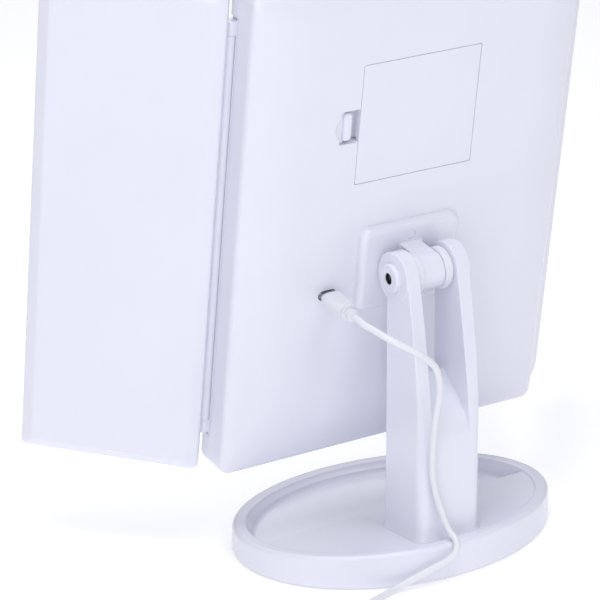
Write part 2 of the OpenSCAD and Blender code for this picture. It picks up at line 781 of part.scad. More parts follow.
module battery_contacts() {
    color(steel) in_head() for (k = [0:3], end = [-1, 1])
        translate([(k - 1.5) * cell_pitch, door_up + end * (bay_in_h / 2 - contact_t / 2), cell_f])
        cube([contact_w, contact_t, contact_h], center = true);
}

// ---- Battery door and latch ----

guide_f = [door_back_f - 0.1, inner_f + 2.8];

module battery_door() {
    color(white) in_head() translate([0, door_up, 0]) difference() {
        union() {
            slab(back_gap, door_back_f) offset(r = 0.6) square([door_w - 1.2, door_h - 1.2], center = true);
            // Two hooks that pass under the shell
            for (s = [-1, 1]) translate([-door_w / 2, s * tab_up - tab_h / 2, 0]) {
                translate([0, 0, door_back_f - 0.1]) cube([3.5, tab_h, inner_f + 1.5 - door_back_f + 0.1]);
                translate([-tab_reach, 0, inner_f + run_gap]) cube([tab_reach + 0.5, tab_h, 1.2]);
            }
            // Guide of the latch's arms
            translate([door_w / 2 - 3.6, -notch_h / 2 + 1.1, guide_f[0]])
                cube([3.2, notch_h - 2.2, guide_f[1] - guide_f[0]]);
        }
        for (s = [-1, 1])
            translate([door_w / 2 - 8, s * latch_arm_y - latch_arm / 2 - run_gap, latch_arm_f - run_gap])
                cube([12, latch_arm + 2 * run_gap, latch_arm + 2 * run_gap]);
    }
}

module door_latch() {
    color(white) in_head() translate([0, door_up, 0]) {
        // Finger bar and the lip under the shell's edge
        translate([latch_x, -latch_h / 2, back_gap + 0.6]) cube([latch_w, latch_h, latch_f - back_gap - 0.6]);
        translate([latch_x + latch_w - 0.1, -latch_h / 2 + 1.5, inner_f + 0.5])
            cube([bay_w / 2 + notch_w - latch_x - latch_w - 0.1, latch_h - 3, latch_f - inner_f - 0.5]);
        for (s = [-1, 1]) translate([door_w / 2 - 3.2, s * latch_arm_y - latch_arm / 2, latch_arm_f])
            cube([latch_x - door_w / 2 + 3.3, latch_arm, latch_arm]);
    }
}

// ---- Side mirrors: depths behind the hinge axis are negative ----

wing_in = 0.5;
wing_out = wing_in + wing_w;
wing_front = hinge_f - front_f - run_gap;
wing_seam = wing_front - wing_frame_t;
wing_back = wing_seam - wing_cover_t;
wing_corner = 3;
barrel_half = barrel_reach - end_knuckle - run_gap;
pane_split = head_mid;
pane_gap = 3;

function wing_ring(inset, r) =
    outline(wing_in + inset, wing_out - inset,
            head_mid - head_h / 2 + inset, head_mid + head_h / 2 - inset, [r, r, r, r]);

// Pane from one height to another, inside the frame's rim
module pane(y0, y1, grow = 0) {
    translate([wing_in + wing_rim - grow, y0 - grow])
        square([wing_w - 2 * wing_rim + 2 * grow, y1 - y0 + 2 * grow]);
}

pane_low = head_mid - head_h / 2 + wing_rim;
pane_high = head_mid + head_h / 2 - wing_rim;

module wing_frame(side, panes) {
    color(white) in_wing(side) difference() {
        union() {
            loft([
                [wing_seam, wing_ring(0, wing_corner)], [wing_front - 0.8, wing_ring(0, wing_corner)],
                [wing_front - 0.2, wing_ring(0.25, wing_corner)], [wing_front, wing_ring(0.8, wing_corner)]
            ]);
            translate([0, head_mid - barrel_half, 0]) rotate([-90, 0, 0]) rod(barrel_r, 2 * barrel_half);
            translate([wing_in + 0.3, head_mid - barrel_half, wing_front - 1])
                cube([barrel_r - wing_in - 0.3, 2 * barrel_half, 1 - wing_front]);
        }
        for (p = panes) slab(wing_front - 0.2 - wing_glass_t, 5) intersection() {
            pane(p[0], p[1], seat_gap);
            translate([barrel_r + 0.8, -200]) square(500);
        }
        for (s = [-1, 1]) translate([0, head_mid + s * (barrel_half - end_knuckle), 0])
            rotate([-90 * s, 0, 0]) rod(hinge_pin_r + bore_gap, end_knuckle + 1);
    }
}

module wing_cover(side) {
    color(white) in_wing(side) loft([
        [wing_back, wing_ring(wing_bevel_w, wing_corner + 1)],
        [wing_back + 0.3, wing_ring(wing_bevel_w - 1.6, wing_corner)],
        [wing_seam - 0.8, wing_ring(0.7, wing_corner - 0.5)],
        [wing_seam - 0.3, wing_ring(0.1, wing_corner)],
        [wing_seam, wing_ring(0, wing_corner)]
    ]);
}

module wing_glass(side, p) {
    color("#c8d4dc") in_wing(side) slab(wing_front - 0.2 - wing_glass_t, wing_front - 0.2) pane(p[0], p[1]);
}

module hinge_pins(side) {
    color(steel) in_head() flip(side) for (s = [-1, 1])
        translate([hinge_x, head_mid + s * (barrel_half - end_knuckle + 1), hinge_f]) rotate([-90 * s, 0, 0])
        rod(hinge_pin_r, 2 * end_knuckle - 2);
}

whole_pane = [pane_low, pane_high];
lower_pane = [pane_low, pane_split - pane_gap / 2];
upper_pane = [pane_split + pane_gap / 2, pane_high];

// ---- Power cord ----

tip_w = 6.9;
tip_h = 1.8;
tip_len = 5.2;
grip_w = 11;
grip_h = 7.4;
grip_len = 15.5;
relief_len = 7;
grip_back = 1.2;

module plug_tip() {
    color(steel) in_head() slab(back_gap - grip_back + 0.5, back_gap + tip_len)
        translate([socket_x, -socket_drop]) square([tip_w, tip_h], center = true);
}

// Soft grip with a tapered, ribbed strain relief
module plug_overmould() {
    color(soft_white) in_head() translate([socket_x, -socket_drop, back_gap - grip_back])
    rotate([180, 0, 0]) {
        difference() {
            loft([
                [0, inset_rect(grip_w, grip_h, 2, 0.6)], [0.8, inset_rect(grip_w, grip_h, 2.4, 0)],
                [grip_len * 0.6, inset_rect(grip_w, grip_h, 2.6, 0.1)],
                [grip_len - 1.5, inset_rect(grip_w - 2.6, grip_h - 0.6, 2.6, 0.1)],
                [grip_len, inset_rect(grip_w - 3.6, grip_h - 1, 2.4, 0.6)]
            ]);
            translate([-tip_w / 2 - 0.05, -tip_h / 2 - 0.05, -0.5]) cube([tip_w + 0.1, tip_h + 0.1, 1]);
        }
        translate([0, 0, grip_len - 0.2]) cylinder(r1 = 2.3, r2 = 1.8, h = relief_len + 0.2 - seat_gap);
        for (k = [0:2]) translate([0, 0, grip_len + 0.6 + 2.2 * k]) rod(2.9 - 0.25 * k, 1.2);
    }
}

relief_end = back_gap - grip_back - grip_len - relief_len;
cord_z = cord_d / 2;

// Route of the cord from the plug, over the fork and the tray's rim and out along the table
cord_start = [socket_x,
    pivot_y - relief_end * cos(tilt) - socket_drop * sin(tilt),
    pivot_z + relief_end * sin(tilt) - socket_drop * cos(tilt)];
cord_points = concat([cord_start, cord_start + 3.2 * [0, cos(tilt), -sin(tilt)]], [
    [41.2, 36, 127], [39.4, 40, 125.8], [37, 45, 123.8], [32.8, 50.4, 120.9], [27.2, 54, 117.6],
    [21.5, 56, 113.3], [16.8, 56.6, 108.4], [14.5, 56.5, 102.3], [13.6, 56, 96], [13.8, 55.4, 89.8],
    [14.3, 54.2, 81.8], [14.4, 53, 73.8], [13.8, 51.2, 62.4], [13, 50.2, 52.6], [11, 50.1, 42.1],
    [7.8, 51, 30.9], [5.2, 53.2, 22.5], [5, 58.4, 19.4], [6.5, 60.9, 15.7], [10.6, 61.2, 11.9],
    [18.6, 60.2, 9.1], [26.8, 58.6, 6.1], [36.1, 57.2, 2.8], [46, 58.8, 1.7], [60, 63.6, 1.7], [74, 68.4, 1.9]
]);

// Coil of the length that is put away: a spiral in on the lower layer and out on the upper one
coil_at = [84, 99];
coil_from = -76;
coil_r = 25.4;
coil_pitch = cord_d + 0.6;
coil_low = cord_z + 0.7;
coil_lift = cord_d + 0.6;
coil_end = 360 * 2 * coil_turns;
function ease(u) = u <= 0 ? 0 : u >= 1 ? 1 : u * u * (3 - 2 * u);
function coil_radius(a) = coil_r - coil_pitch * min(a, coil_end - a) / 360;
function coil_point(a) = [
    coil_at[0] + coil_radius(a) * cos(coil_from + a),
    coil_at[1] + coil_radius(a) * sin(coil_from + a),
    coil_low + coil_lift * ease((a - coil_end / 2 + 90) / 180)];
coil_path = [for (k = [0:48 * coil_turns]) coil_point(15 * k)];
coil_in = coil_point(0);
coil_out = coil_point(coil_end);
coil_heading = [-sin(coil_from), cos(coil_from), 0];

coil_lead = coil_in - cord_d * coil_heading;
run_path = concat(smooth(cord_points, 2), [coil_lead - cord_d * coil_heading, coil_lead]);

module cord_run() {
    color("#e4e2e6") tube(run_path, cord_z, 8, [1, 0, 0]);
}

tail_len = 18;
grip_z = 4;
tail_end = [coil_out[0] + tail_len * coil_heading[0], coil_out[1] + tail_len * coil_heading[1], grip_z];
tail_path = [coil_out + 4 * coil_heading, coil_out + 9 * coil_heading - [0, 0, 0.9],
    tail_end - cord_d * coil_heading, tail_end];
coil_route = concat([coil_lead], coil_path, tail_path);

module cord_coil() {
    color("#e4e2e6") tube(coil_route, cord_z, 6, [0, 0, 1]);
}

// Soft band round one side of the coil
tie_t = 0.5;
tie_at = 100;
coil_inner = coil_r - coil_pitch * coil_turns - cord_z - 0.5;
coil_wide = coil_r + cord_z + 0.5 - coil_inner;
coil_top = coil_low + coil_lift + cord_z + 0.4;

module cord_tie() {
    color("#f3f3f5") translate([coil_at[0], coil_at[1], 0]) rotate([0, 0, tie_at]) translate([0, 3, 0])
        rotate([90, 0, 0]) linear_extrude(6) difference() {
            translate([coil_inner - tie_t, 0]) square([coil_wide + 2 * tie_t, coil_top + tie_t]);
            translate([coil_inner, tie_t]) square([coil_wide, coil_top - tie_t]);
        }
}

charger_w = 15.4;
charger_h = 7.8;
charger_len = 22;
shell_len = 12;

module at_tail() {
    translate([tail_end[0], tail_end[1], grip_z]) rotate([0, 90, coil_from + 90]) children();
}

module charger_plug_grip() {
    color(soft_white) at_tail() {
        cylinder(r1 = 2, r2 = 2.8, h = 7);
        translate([0, 0, 6.5]) loft([
            [0, inset_rect(charger_h, charger_w, 2, 1.4)], [1.5, inset_rect(charger_h, charger_w, 2, 0.4)],
            [4, inset_rect(charger_h, charger_w, 2, 0)],
            [charger_len - 0.8, inset_rect(charger_h, charger_w, 2, 0)],
            [charger_len, inset_rect(charger_h, charger_w, 2, 0.8)]
        ]);
    }
}

module charger_plug_shell() {
    color(steel) at_tail() translate([0, 0, 6.5 + charger_len]) difference() {
        translate([-2.25, -6, 0]) cube([4.5, 12, shell_len]);
        translate([-1.9, -5.65, 1]) cube([1.9, 11.3, shell_len]);
    }
}

// Least gap of the coil to itself, on the centreline's points
coil_gap = min([for (i = [0:len(coil_path) - 1], j = [i + 12:1:len(coil_path) - 1])
    norm(coil_path[i] - coil_path[j])]) - cord_d;
function path_len(p, i = 1) = i < len(p) ? norm(p[i] - p[i - 1]) + path_len(p, i + 1) : 0;
echo(coil_gap = coil_gap, cord_length = path_len(run_path) + path_len(coil_route));

base_tray();
base_pad();
stand_column();
column_screws();
pivot_bolt();
pivot_nut();
friction_washers();
rear_shell();
front_bezel();
centre_mirror();
mirror_tape();
case_screws();
diffuser(1);  // right_diffuser
diffuser(-1);  // left_diffuser
led_strip(1);  // right_led_strip
led_strip(-1);  // left_led_strip
touch_sensor();
control_board();
board_screws();
usb_socket();
mount_plate();
plate_screws();
cell(0);  // battery_1
cell(1);  // battery_2
cell(2);  // battery_3
cell(3);  // battery_4
battery_springs();
battery_contacts();
battery_door();
door_latch();
wing_frame(1, [whole_pane]);  // right_wing_frame
wing_cover(1);  // right_wing_cover
wing_glass(1, whole_pane);  // right_wing_mirror
hinge_pins(1);  // right_hinge_pins
wing_frame(-1, [lower_pane, upper_pane]);  // left_wing_frame
wing_cover(-1);  // left_wing_cover
wing_glass(-1, upper_pane);  // left_wing_mirror_upper
wing_glass(-1, lower_pane);  // left_wing_mirror_lower
hinge_pins(-1);  // left_hinge_pins
plug_tip();
plug_overmould();
cord_run();
cord_coil();
cord_tie();
charger_plug_grip();
charger_plug_shell();
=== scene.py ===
import math

import bmesh
import bpy
from mathutils import Matrix, Vector


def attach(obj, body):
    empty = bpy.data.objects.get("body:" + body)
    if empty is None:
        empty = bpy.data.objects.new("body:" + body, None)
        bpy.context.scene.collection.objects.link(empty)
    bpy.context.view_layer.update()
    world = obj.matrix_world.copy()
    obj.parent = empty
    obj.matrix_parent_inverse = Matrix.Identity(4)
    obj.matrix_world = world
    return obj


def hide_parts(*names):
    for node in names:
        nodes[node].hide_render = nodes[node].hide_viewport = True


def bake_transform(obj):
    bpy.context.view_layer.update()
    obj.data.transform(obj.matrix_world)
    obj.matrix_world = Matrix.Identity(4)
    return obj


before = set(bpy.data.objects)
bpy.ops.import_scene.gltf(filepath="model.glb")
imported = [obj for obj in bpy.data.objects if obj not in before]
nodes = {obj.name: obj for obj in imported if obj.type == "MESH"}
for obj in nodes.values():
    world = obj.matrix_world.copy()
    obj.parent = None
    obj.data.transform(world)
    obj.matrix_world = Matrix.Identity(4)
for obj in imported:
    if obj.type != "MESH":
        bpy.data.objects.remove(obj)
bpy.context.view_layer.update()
mm = 0.001


# ---- Studio and camera ----
# The mirror stands on a plain pale table with its back to the camera, which looks down a little.
# Large soft lights behind, above and in front of it, and a bright room, leave hardly any shadow.

view_from = {"azimuth": 147.48, "elevation": 21.33, "roll": -0.13, "distance": 1529.1 * mm}
view_at = Vector((53.31, 0, 130.2)) * mm
focal_px, photo_px, sensor_mm = 3328.7, 600, 36

turn, rise = math.radians(view_from["azimuth"]), math.radians(view_from["elevation"])
back = Vector((math.sin(turn) * math.cos(rise), -math.cos(turn) * math.cos(rise), math.sin(rise)))
camera = bpy.data.objects.new("camera", bpy.data.cameras.new("camera"))
camera.data.sensor_width = sensor_mm
camera.data.lens = focal_px / photo_px * sensor_mm
camera.location = view_at + back * view_from["distance"]
camera.rotation_mode = "QUATERNION"
camera.rotation_quaternion = (-back).to_track_quat("-Z", "Y")
camera.rotation_quaternion @= Matrix.Rotation(math.radians(view_from["roll"]), 3, "Z").to_quaternion()
bpy.context.scene.collection.objects.link(camera)
bpy.context.scene.camera = camera
bpy.context.scene.view_settings.view_transform = "Standard"

world = bpy.data.worlds.new("white room")
bpy.context.scene.world = world
world.use_nodes = True
world.node_tree.nodes["Background"].inputs["Color"].default_value = (0.90, 0.91, 1.0, 1)
world.node_tree.nodes["Background"].inputs["Strength"].default_value = 0.34


def soft_light(name, azimuth, elevation, distance, size, power):
    """Round white lamp that faces the mirror."""
    a, e = math.radians(azimuth), math.radians(elevation)
    away = Vector((math.sin(a) * math.cos(e), -math.cos(a) * math.cos(e), math.sin(e)))
    lamp = bpy.data.objects.new(name, bpy.data.lights.new(name, "AREA"))
    lamp.data.shape, lamp.data.size, lamp.data.energy = "DISK", size, power
    lamp.location = view_at + away * distance
    lamp.rotation_mode = "QUATERNION"
    lamp.rotation_quaternion = (-away).to_track_quat("-Z", "Y")
    bpy.context.scene.collection.objects.link(lamp)


soft_light("key", 142, 12, 1.5, 1.3, 6.6)
soft_light("over", 192, 48, 1.5, 0.5, 1.8)
soft_light("top", 150, 80, 1.5, 1.4, 14)
soft_light("front", 330, 40, 1.6, 1.2, 4.6)

table = bmesh.new()
bmesh.ops.create_grid(table, x_segments=1, y_segments=1, size=4)
floor = bpy.data.objects.new("table", bpy.data.meshes.new("table"))
table.to_mesh(floor.data)
table.free()
bpy.context.scene.collection.objects.link(floor)
floor_paint = bpy.data.materials.new("pale table")
floor_paint.use_nodes = True
shader = floor_paint.node_tree.nodes["Principled BSDF"]
shader.inputs["Base Color"].default_value = (0.93, 0.93, 0.94, 1)
shader.inputs["Roughness"].default_value = 0.7
shader.inputs["Emission Color"].default_value = (1, 1, 1, 1)
shader.inputs["Emission Strength"].default_value = 0.24
floor.data.materials.append(floor_paint)


# ---- Power cord ----
# A limp round lead in soft off-white PVC: it leaves its plug at the back of the housing, hangs over
# the stand's fork, crosses the tray's rim to the table and ends in a tied coil of spare length.

cord_d = 3.2 * mm
pivot_y, pivot_z = 23, 141
pivot = Vector((0, pivot_y, pivot_z)) * mm
tilt = math.radians(8)
socket_x, socket_v, relief_end = 41.8, -11.5, -7.2


def in_head(x, v, f):
    """Point of the head's own frame: across, up along the mirror, forward of the tilt axis."""
    return pivot + Vector((x, v * math.sin(tilt) - f * math.cos(tilt), v * math.cos(tilt) + f * math.sin(tilt)))


cord_start = in_head(socket_x * mm, socket_v * mm, relief_end * mm)
hand_points = [
    (41.2, 36, 127), (39.4, 40, 125.8), (37, 45, 123.8), (32.8, 50.4, 120.9), (27.2, 54, 117.6),
    (21.5, 56, 113.3), (16.8, 56.6, 108.4), (14.5, 56.5, 102.3), (13.6, 56, 96), (13.8, 55.4, 89.8),
    (14.3, 54.2, 81.8), (14.4, 53, 73.8), (13.8, 51.2, 62.4), (13, 50.2, 52.6), (11, 50.1, 42.1),
    (7.8, 51, 30.9), (5.2, 53.2, 22.5), (5, 58.4, 19.4), (6.5, 60.9, 15.7), (10.6, 61.2, 11.9),
    (18.6, 60.2, 9.1), (26.8, 58.6, 6.1), (36.1, 57.2, 2.8), (46, 58.8, 1.7), (60, 63.6, 1.7), (74, 68.4, 1.9),
]
cord_points = [cord_start, cord_start + cord_d * Vector((0, math.cos(tilt), -math.sin(tilt)))]
cord_points += [Vector(p) * mm for p in hand_points]

coil_at, coil_from, coil_r = Vector((84, 99, 0)) * mm, math.radians(-76), 25.4 * mm
coil_gap, tie_t = 0.6 * mm, 0.7 * mm
coil_turns, coil_pitch, coil_low = 4, cord_d + coil_gap, cord_d / 2 + tie_t
coil_end = 2 * math.pi * 2 * coil_turns
coil_heading = Vector((-math.sin(coil_from), math.cos(coil_from), 0))


def coil_point(angle):
    """Point of the lead in the coil, which winds inwards, climbs one layer and winds out again."""
    radius = coil_r - coil_pitch * min(angle, coil_end - angle) / (2 * math.pi)
    u = min(1, max(0, (angle - coil_end / 2) / math.pi + 0.5))
    turned = coil_from + angle
    place = Vector((math.cos(turned), math.sin(turned), 0)) * radius
    return coil_at + place + Vector((0, 0, coil_low + coil_pitch * u * u * (3 - 2 * u)))


def smooth_route(points, steps):
    """Curve through the points, with a number of steps between each two."""
    route = []
    for i in range(len(points) - 1):
        a, b, c, d = points[max(i - 1, 0)], points[i], points[i + 1], points[min(i + 2, len(points) - 1)]
        for u in (k / steps for k in range(steps)):
            bend = (2 * a - 5 * b + 4 * c - d) * u ** 2 + (3 * b - a - 3 * c + d) * u ** 3
            route.append(0.5 * (2 * b + (c - a) * u + bend))
    return route + [points[-1]]


coil_steps = 36
coil_path = [coil_point(2 * math.pi * k / coil_steps) for k in range(2 * coil_turns * coil_steps + 1)]
coil_lead = coil_path[0] - cord_d * coil_heading
tail_drop, tail_len, grip_z = Vector((0, 0, 0.9)) * mm, 18 * mm, 4 * mm
tail_end = coil_path[-1] + tail_len * coil_heading
tail_end.z = grip_z
cord_route = smooth_route(cord_points, 6) + [coil_lead - cord_d * coil_heading, coil_lead]
cord_route += coil_path
cord_route += [coil_path[-1] + 4 * mm * coil_heading, coil_path[-1] + 9 * mm * coil_heading - tail_drop]
cord_route += [tail_end - cord_d * coil_heading, tail_end]

line = bpy.data.curves.new("power cord", "CURVE")
line.dimensions, line.bevel_depth, line.bevel_resolution, line.use_fill_caps = "3D", cord_d / 2, 6, True
spline = line.splines.new("POLY")
spline.points.add(len(cord_route) - 1)
for point, place in zip(spline.points, cord_route):
    point.co = (*place, 1)
drawn = bpy.data.objects.new("cord line", line)
bpy.context.scene.collection.objects.link(drawn)
bpy.context.view_layer.update()
cord = bpy.data.objects.new("power_cord", bpy.data.meshes.new_from_object(drawn))
bpy.context.scene.collection.objects.link(cord)
bpy.data.objects.remove(drawn)


def moulded(name, colour, roughness, coat=0.0, grain=0.03):
    """Moulded plastic: faint flow marks in its colour, and a fine skin in its gloss and relief."""
    paint = bpy.data.materials.new(name)
    paint.use_nodes = True
    tree = paint.node_tree
    shader = tree.nodes["Principled BSDF"]
    shader.inputs["Coat Weight"].default_value = coat
    shader.inputs["Coat Roughness"].default_value = 0.22
    where = tree.nodes.new("ShaderNodeTexCoord")
    flow = tree.nodes.new("ShaderNodeTexNoise")
    flow.inputs["Scale"].default_value, flow.inputs["Detail"].default_value = 16, 3
    tint = tree.nodes.new("ShaderNodeValToRGB")
    tint.color_ramp.elements[0].position, tint.color_ramp.elements[1].position = 0.3, 0.7
    tint.color_ramp.elements[0].color = (*(0.975 * c for c in colour), 1)
    tint.color_ramp.elements[1].color = (*colour, 1)
    skin = tree.nodes.new("ShaderNodeTexNoise")
    skin.inputs["Scale"].default_value, skin.inputs["Detail"].default_value = 1500, 2
    gloss = tree.nodes.new("ShaderNodeMapRange")
    gloss.inputs["To Min"].default_value = roughness - 0.03
    gloss.inputs["To Max"].default_value = roughness + 0.03
    relief = tree.nodes.new("ShaderNodeBump")
    relief.inputs["Strength"].default_value, relief.inputs["Distance"].default_value = grain, 0.1 * mm
    for texture in (flow, skin):
        tree.links.new(where.outputs["Object"], texture.inputs["Vector"])
    tree.links.new(flow.outputs["Fac"], tint.inputs["Fac"])
    tree.links.new(tint.outputs["Color"], shader.inputs["Base Color"])
    tree.links.new(skin.outputs["Fac"], gloss.inputs["Value"])
    tree.links.new(gloss.outputs["Result"], shader.inputs["Roughness"])
    tree.links.new(skin.outputs["Fac"], relief.inputs["Height"])
    tree.links.new(relief.outputs["Normal"], shader.inputs["Normal"])
    return paint


cord.data.materials.clear()
cord.data.materials.append(moulded("soft PVC", (0.80, 0.81, 0.86), 0.4, coat=0.1, grain=0.08))
cord.data.shade_smooth()
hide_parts("cord_run", "cord_coil")
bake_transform(cord)


# ---- Base tray ----
# An oval tray in glossy white plastic: a broad rim round a sunken floor, and a raised plateau at the
# back that carries the column. Rim and plateau rise a little towards the back. It rests on a foam pad.

stand_frame = Matrix.Scale(mm, 4)
tray_half_w, tray_half_l, tray_mid_y = 82, 60.5, -2
floor_z, plateau_z, rim_h, rim_w, rim_lean = 4.8, 12.8, 14.2, 6.9, 0.065


def oval(inset, level, lean=0.0, steps=192):
    """Ring of points of the tray's oval, drawn in by an inset."""
    ring = []
    for turned in (2 * math.pi * k / steps for k in range(steps)):
        y = (tray_half_l - inset) * math.sin(turned) + tray_mid_y
        ring.append(((tray_half_w - inset) * math.cos(turned), y, level + lean * y))
    return ring


def lofted(rings):
    """Closed mesh through a stack of rings that have the same number of points."""
    mesh, n = bmesh.new(), len(rings[0])
    bmesh.ops.create_grid(mesh, x_segments=n, y_segments=len(rings) - 1, size=1)
    for k, vert in enumerate(mesh.verts):
        vert.co = rings[k // (n + 1)][k % (n + 1) % n]
    bmesh.ops.remove_doubles(mesh, verts=mesh.verts, dist=1e-5)
    bmesh.ops.holes_fill(mesh, edges=[edge for edge in mesh.edges if edge.is_boundary])
    bmesh.ops.recalc_face_normals(mesh, faces=mesh.faces)
    return mesh


def quarter(radius, steps=5):
    """Inset and drop of the points of a quarter round, from the wall to the top."""
    turns = (math.pi / 2 * k / steps for k in range(steps + 1))
    return [(radius * (1 - math.cos(t)), radius * (1 - math.sin(t))) for t in turns]


def carve(mesh, tool, way="DIFFERENCE"):
    """The mesh with another one cut out of it, joined to it, or only what both fill."""
    solids = []
    for form in (mesh, tool):
        solids.append(bpy.data.objects.new("solid", bpy.data.meshes.new("solid")))
        form.to_mesh(solids[-1].data)
        form.free()
        bpy.context.scene.collection.objects.link(solids[-1])
    cut = solids[0].modifiers.new("cut", "BOOLEAN")
    cut.operation, cut.solver, cut.object = way, "EXACT", solids[1]
    bpy.context.view_layer.update()
    made = bpy.data.meshes.new_from_object(solids[0].evaluated_get(bpy.context.evaluated_depsgraph_get()))
    result = bmesh.new()
    result.from_mesh(made)
    bpy.data.meshes.remove(made)
    for solid in solids:
        bpy.data.objects.remove(solid)
    return result


def piece(name, mesh, frame_of, paint, body, replaced, sharp=35):
    """A finished piece from a mesh in its frame's millimetres, riding on its body in place of its nodes."""
    bmesh.ops.transform(mesh, matrix=frame_of, verts=mesh.verts)
    bmesh.ops.recalc_face_normals(mesh, faces=mesh.faces)
    made = bpy.data.objects.new(name, bpy.data.meshes.new(name))
    mesh.to_mesh(made.data)
    mesh.free()
    made.data.shade_smooth()
    made.data.set_sharp_from_angle(angle=math.radians(sharp))
    made.data.materials.append(paint)
    bpy.context.scene.collection.objects.link(made)
    made.modifiers.new("even shading", "WEIGHTED_NORMAL").keep_sharp = True
    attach(made, body)
    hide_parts(*replaced)
    return made


def dress(node, paint, bevel=0.0, segments=2):
    """A CAD node that stays as it is, with its material and softened edges."""
    part = nodes[node]
    part.data.materials.clear()
    part.data.materials.append(paint)
    if bevel:
        part.modifiers.new("joined faces", "WELD").merge_threshold = 0.001 * mm
        soft = part.modifiers.new("soft edges", "BEVEL")
        soft.width, soft.segments, soft.limit_method = bevel * mm, segments, "ANGLE"
        soft.angle_limit, soft.harden_normals = math.radians(40), True


white_plastic = moulded("white moulded plastic", (0.80, 0.81, 0.905), 0.26, coat=0.4, grain=0.008)

pad_inset, under_z, soft_r, outer_r, floor_r, wall_foot = 5.5, 0.6, 1.2, 2.2, 2.4, 9.1
tray_rings = [oval(8, 1.2), oval(pad_inset, 1.2), oval(pad_inset, under_z)]
tray_rings += [oval(inset, under_z + drop) for inset, drop in reversed(quarter(soft_r))]
tray_rings += [oval(inset, rim_h - drop, rim_lean) for inset, drop in quarter(outer_r, 8)]
tray_rings += [oval(rim_w - inset, rim_h - drop, rim_lean) for inset, drop in reversed(quarter(soft_r))]
tray_rings += [oval(7.6, 12, rim_lean), oval(9, 7.6)]
tray_rings += [oval(wall_foot + floor_r * (1 - math.cos(t)), floor_z + floor_r * (1 - math.sin(t)))
               for t in (math.radians(10 + 10 * k) for k in range(9))]
tray = lofted(tray_rings + [oval(14, floor_z)])


def plateau_edge(out, level, lean):
    """Ring round the plateau: its front edge with the column's recess, moved out, and its back."""
    half, front, back_edge, convex, concave = 16.6, 1, 14.6, 2.2, 1.8
    right = [(half + convex - (convex + out) * math.cos(t), front + convex - (convex + out) * math.sin(t))
             for t in (math.radians(90 - 15 * k) for k in range(7))]
    right += [(half - concave + (concave - out) * math.cos(t),
               back_edge - concave + (concave - out) * math.sin(t))
              for t in (math.radians(15 * k) for k in range(7))]
    right = [(90, front - out)] + right
    left = [(-x, y) for x, y in reversed(right)]
    return [(x, y, level + lean * y) for x, y in right + left + [(-90, 70), (90, 70)]]


crest_r, hollow_r = 1.6, 1.4
step = [(-2.1, plateau_z, rim_lean)]
step += [(-crest_r * math.cos(t), plateau_z - crest_r + crest_r * math.sin(t), rim_lean)
         for t in (math.radians(90 - 15 * k) for k in range(7))]
step += [(hollow_r * (1 - math.cos(t)), floor_z + hollow_r * (1 - math.sin(t)), 0)
         for t in (math.radians(15 * k) for k in range(7))]
step += [(hollow_r, floor_z - 1, 0)]
plateau = lofted([plateau_edge(*level) for level in step])
plateau = carve(plateau, lofted([oval(6, 3), oval(6, 30)]), "INTERSECT")
tray = carve(tray, plateau, "UNION")
piece("tray", tray, stand_frame, white_plastic, "stand", ["base_tray"])
dress("base_pad", moulded("foam", (0.30, 0.31, 0.35), 0.9, grain=0.6))


# ---- Column ----
# A white plastic column with rounded back corners grows out of a small flange, splits into two arms
# that carry the head between them, and ends in two discs with raised bosses. A steel bolt goes through
# discs and nylon washers to its nut, and four screws hold it to the tray. Its head is a cup of near-black
# steel lining the hole in the boss, painted shade for the shadow in that hole; the cup's floor is plain steel.

col_half, col_front, col_back, col_foot_r, col_front_r = 17.2, 17, 47.6, 4.8, 1.6


def oblong(x0, x1, y0, y1, radii, level, lean=0.0, steps=8):
    """Ring of a rounded rectangle, with its corner radii from x1, y1 anticlockwise."""
    ring = []
    corners = zip((x1, x0, x0, x1), (y1, y1, y0, y0), (-1, 1, 1, -1), (-1, -1, 1, 1), radii)
    for k, (x, y, side, up, r) in enumerate(corners):
        for turned in (math.pi / 2 * (k + i / steps) for i in range(steps + 1)):
            place_y = y + r * (up + math.sin(turned))
            ring.append((x + r * (side + math.cos(turned)), place_y, level + lean * place_y))
    return ring


def column_ring(flare, rear, r, level, lean=0.0):
    """Ring of the column's outline, spread by a flare, with its rear face and rear corners as given."""
    radii = (r + flare, r + flare, col_front_r + flare, col_front_r + flare)
    return oblong(-col_half - flare, col_half + flare, col_front - flare, rear + flare, radii, level, lean)


def drum(radius, x0, x1, edge, steps=96, start=0.5):
    """Disc across the stand round the tilt axis, with rounded edges, whose seams start at a part of a step."""
    profile = [(x0, 0)] + [(x0 + drop, radius - inset) for inset, drop in reversed(quarter(edge))]
    profile += [(x1 - drop, radius - inset) for inset, drop in quarter(edge)] + [(x1, 0)]
    rings = []
    for turned in (2 * math.pi * (k + start) / steps for k in range(steps)):
        rings.append([(x, pivot_y + r * math.sin(turned), pivot_z + r * math.cos(turned)) for x, r in profile])
    return lofted([list(ring) for ring in zip(*rings)])


